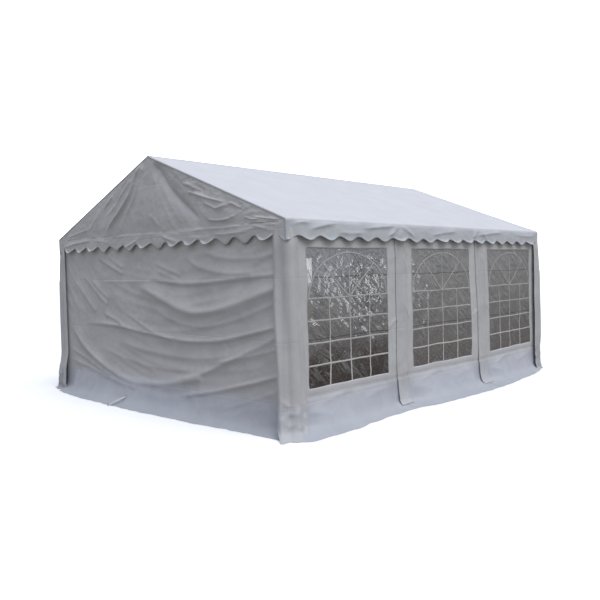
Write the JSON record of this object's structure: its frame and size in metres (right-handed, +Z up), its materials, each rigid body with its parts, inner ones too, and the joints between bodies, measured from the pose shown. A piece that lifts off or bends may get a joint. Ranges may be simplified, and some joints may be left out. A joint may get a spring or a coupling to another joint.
{
  "type": "marquee tent",
  "caption": "Rectangular marquee tent with a pitched white roof, scalloped valances, clear film windows along its sides and a steel tube frame.",
  "frame": {"origin": "on the ground, at the middle of the plan", "axes": "+Z up, +Y along the ridge from the front gable to the back gable, +X towards the right-hand long side as the front gable is faced from inside"},
  "size_m": [5.6034, 6.5086, 3.28],
  "materials": {
    "white_fabric": "coated cloth, satin, creased from folding",
    "joint_strip": "coated cloth strip with a stitched hem",
    "window_film": "clear soft film, glossy and wrinkled",
    "window_bars": "pale welded strips on the film",
    "galvanised_steel": "hot dip galvanised tube, dull grey",
    "tie_cord": "white braided cord"
  },
  "bodies": {
    "root": {"left_leg_1": "galvanised_steel", "left_leg_2": "galvanised_steel", "left_leg_3": "galvanised_steel", "left_leg_4": "galvanised_steel", "right_leg_1": "galvanised_steel", "right_leg_2": "galvanised_steel", "right_leg_3": "galvanised_steel", "right_leg_4": "galvanised_steel", "left_eave_rail": "galvanised_steel", "right_eave_rail": "galvanised_steel", "ridge_rail": "galvanised_steel", "left_rafter_1": "galvanised_steel", "left_rafter_2": "galvanised_steel", "left_rafter_3": "galvanised_steel", "left_rafter_4": "galvanised_steel", "right_rafter_1": "galvanised_steel", "right_rafter_2": "galvanised_steel", "right_rafter_3": "galvanised_steel", "right_rafter_4": "galvanised_steel", "front_tie_bar": "galvanised_steel", "back_tie_bar": "galvanised_steel", "roof_cover": "white_fabric", "front_gable": "white_fabric", "back_gable": "white_fabric", "front_wall": "white_fabric", "back_wall": "white_fabric", "left_wall_1": "white_fabric", "left_wall_2": "white_fabric", "left_wall_3": "white_fabric", "right_wall_1": "white_fabric", "right_wall_2": "white_fabric", "right_wall_3": "white_fabric", "left_window_1": "window_film", "left_window_2": "window_film", "left_window_3": "window_film", "right_window_1": "window_film", "right_window_2": "window_film", "right_window_3": "window_film", "left_post_cover_2": "joint_strip", "left_post_cover_3": "joint_strip", "right_post_cover_2": "joint_strip", "right_post_cover_3": "joint_strip", "front_left_corner_cover": "joint_strip", "front_right_corner_cover": "joint_strip", "back_left_corner_cover": "joint_strip", "back_right_corner_cover": "joint_strip"}
  },
  "joints": []
}
